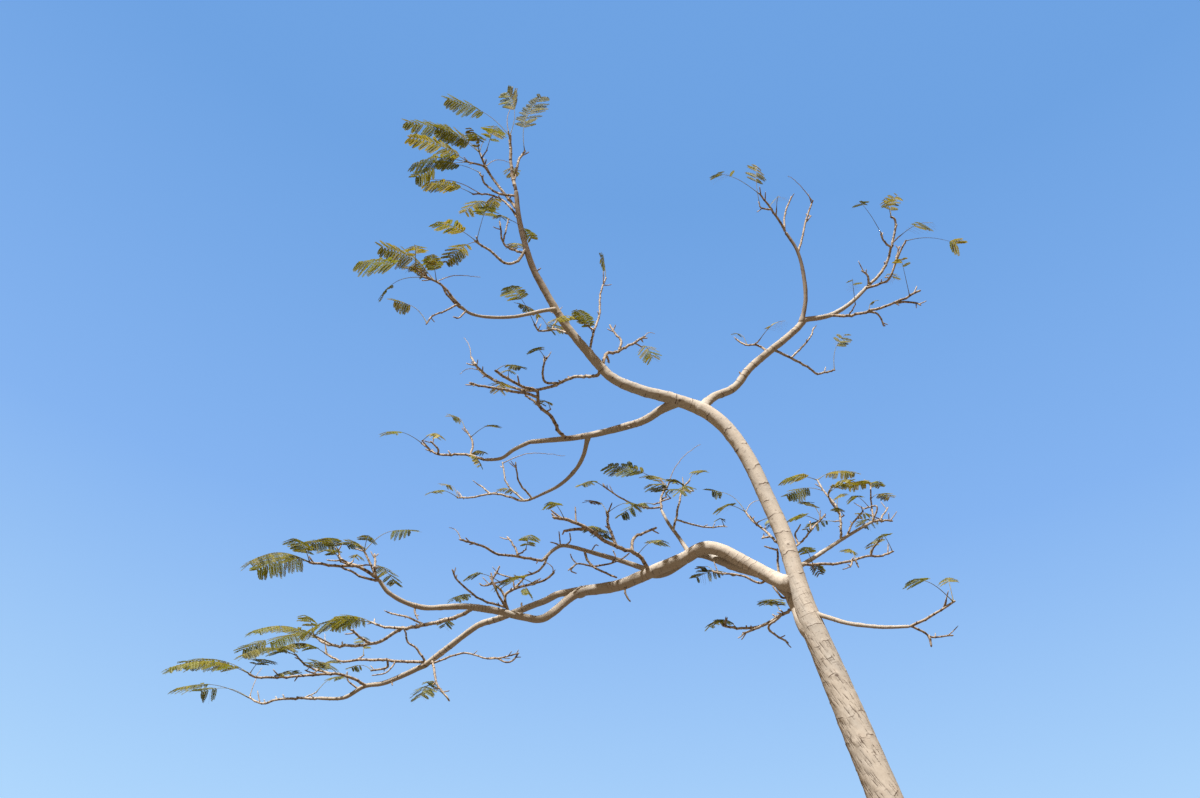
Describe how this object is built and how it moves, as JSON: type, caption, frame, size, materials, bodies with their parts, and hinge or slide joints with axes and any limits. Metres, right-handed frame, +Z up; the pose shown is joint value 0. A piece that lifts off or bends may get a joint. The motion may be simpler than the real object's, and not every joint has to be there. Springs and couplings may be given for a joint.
{
  "type": "flame tree",
  "caption": "Wind-swept flame tree with a leaning trunk and flared foot, long forked boughs, and open sprays of stout twigs that carry feathery fronds.",
  "frame": {"origin": "centre of the trunk's foot, on the level ground", "axes": "+Z up; the crown is swept towards -X, and the picture looks along +Y from below"},
  "size_m": [5.2604, 3.1105, 8.2389],
  "materials": {
    "bark": "rough pale buff-grey bark, cracked low down, ringed and smoother on the boughs",
    "foliage": "matt olive to yellow-green leaflets"
  },
  "bodies": {
    "root": {"trunk": "bark", "leader_low": "bark", "leader_top": "bark", "right_bough": "bark", "right_upright": "bark", "right_outer": "bark", "middle_bough": "bark", "middle_tip": "bark", "middle_drop": "bark", "low_bough": "bark", "low_twin": "bark", "low_reach": "bark", "low_end": "bark", "low_fork": "bark", "low_crest": "bark", "sail_branch": "bark", "low_riser": "bark", "back_bough": "bark", "side_branch": "bark", "left_long": "bark", "crown_tip": "foliage", "crown_left": "foliage", "crown_arch": "foliage", "crown_spur": "foliage", "crown_fork": "foliage", "left_long_spray": "foliage", "leader_inner": "foliage", "leader_upright": "foliage", "leader_right": "foliage", "inner_left": "foliage", "middle_rise": "foliage", "middle_spray": "foliage", "drop_spray": "foliage", "right_upright_spray": "foliage", "right_upright_fork": "foliage", "right_outer_spray": "foliage", "right_outer_fork": "foliage", "right_level": "foliage", "right_hanging": "foliage", "right_back": "foliage", "riser_top": "foliage", "riser_right": "foliage", "low_inner": "foliage", "sail_spray": "foliage", "sail_under": "foliage", "crossing": "foliage", "crest_spray": "foliage", "low_middle": "foliage", "low_reach_spray": "foliage", "low_end_upper": "foliage", "low_end_spray": "foliage", "low_reach_under": "foliage", "back_spray": "foliage", "back_rise": "foliage", "back_low": "foliage", "side_spray": "foliage", "trunk_left": "foliage", "trunk_back": "foliage", "bough_under": "foliage"}
  },
  "joints": []
}
